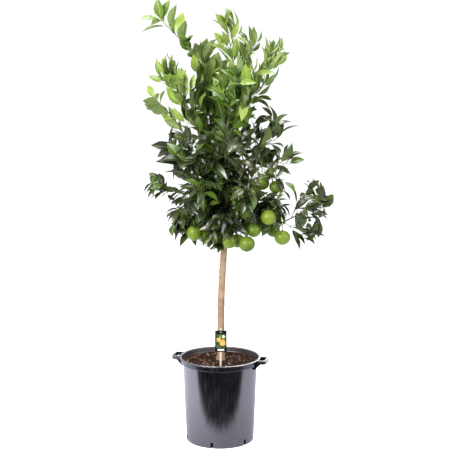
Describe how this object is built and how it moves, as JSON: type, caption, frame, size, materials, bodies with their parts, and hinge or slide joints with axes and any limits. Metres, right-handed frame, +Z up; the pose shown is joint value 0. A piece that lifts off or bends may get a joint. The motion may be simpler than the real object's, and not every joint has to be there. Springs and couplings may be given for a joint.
{
  "type": "potted orange tree",
  "caption": "Potted orange tree grown as a standard, with a bare stem, a leafy crown, green fruit, a plastic pot with loop handles and a plant label.",
  "frame": {"origin": "middle of the pot's flat underside, on the floor", "axes": "+Z up the trunk, +Y to the back of the tree, +X to its right as the label is read"},
  "size_m": [0.8133, 0.5825, 1.8948],
  "materials": {
    "pot_plastic": "semi-gloss moulded",
    "potting_mix": "rough, damp",
    "label_card": "printed, glossy",
    "label_stake": "smooth",
    "bark": "fine-grained bark",
    "young_leaves": "soft gloss",
    "mature_leaves": "leathery gloss"
  },
  "bodies": {
    "root": {"pot": "pot_plastic", "handle_right": "pot_plastic", "handle_left": "pot_plastic", "soil": "potting_mix", "label_card": "label_card", "label_stake": "label_stake", "trunk": "bark", "bough_middle_top": "bark", "bough_top_right": "bark", "bough_left": "bark", "bough_right": "bark", "bough_right_outer": "bark", "bough_top_left": "bark", "bough_top_middle": "bark", "bough_back_top": "bark", "bough_front_top": "bark", "bough_back": "bark", "bough_front": "bark", "bough_left_top": "bark", "bough_left_tip": "bark", "bough_back_left": "bark", "bough_right_tip": "bark", "bough_top_fan": "bark", "bough_back_right": "bark", "bough_front_left": "bark", "bough_front_right": "bark", "bough_front_low": "bark", "bough_left_low": "bark", "bough_left_spray": "bark", "bough_right_low": "bark", "bough_right_spray": "bark", "bough_back_low_left": "bark", "bough_back_low_right": "bark", "foliage_middle_top": "young_leaves", "foliage_top_right": "young_leaves", "foliage_left": "mature_leaves", "foliage_right": "mature_leaves", "foliage_right_outer": "mature_leaves", "foliage_top_left": "young_leaves", "foliage_top_middle": "young_leaves", "foliage_back_top": "young_leaves", "foliage_front_top": "young_leaves", "foliage_back": "mature_leaves", "foliage_front": "mature_leaves", "foliage_left_top": "young_leaves", "foliage_left_tip": "young_leaves", "foliage_back_left": "mature_leaves", "foliage_right_tip": "young_leaves", "foliage_top_fan": "young_leaves", "foliage_back_right": "mature_leaves", "foliage_front_left": "mature_leaves", "foliage_front_right": "mature_leaves", "foliage_front_low": "mature_leaves", "foliage_left_low": "mature_leaves", "foliage_left_spray": "mature_leaves", "foliage_right_low": "mature_leaves", "foliage_right_spray": "mature_leaves", "foliage_back_low_left": "mature_leaves", "foliage_back_low_right": "mature_leaves"}
  },
  "joints": []
}
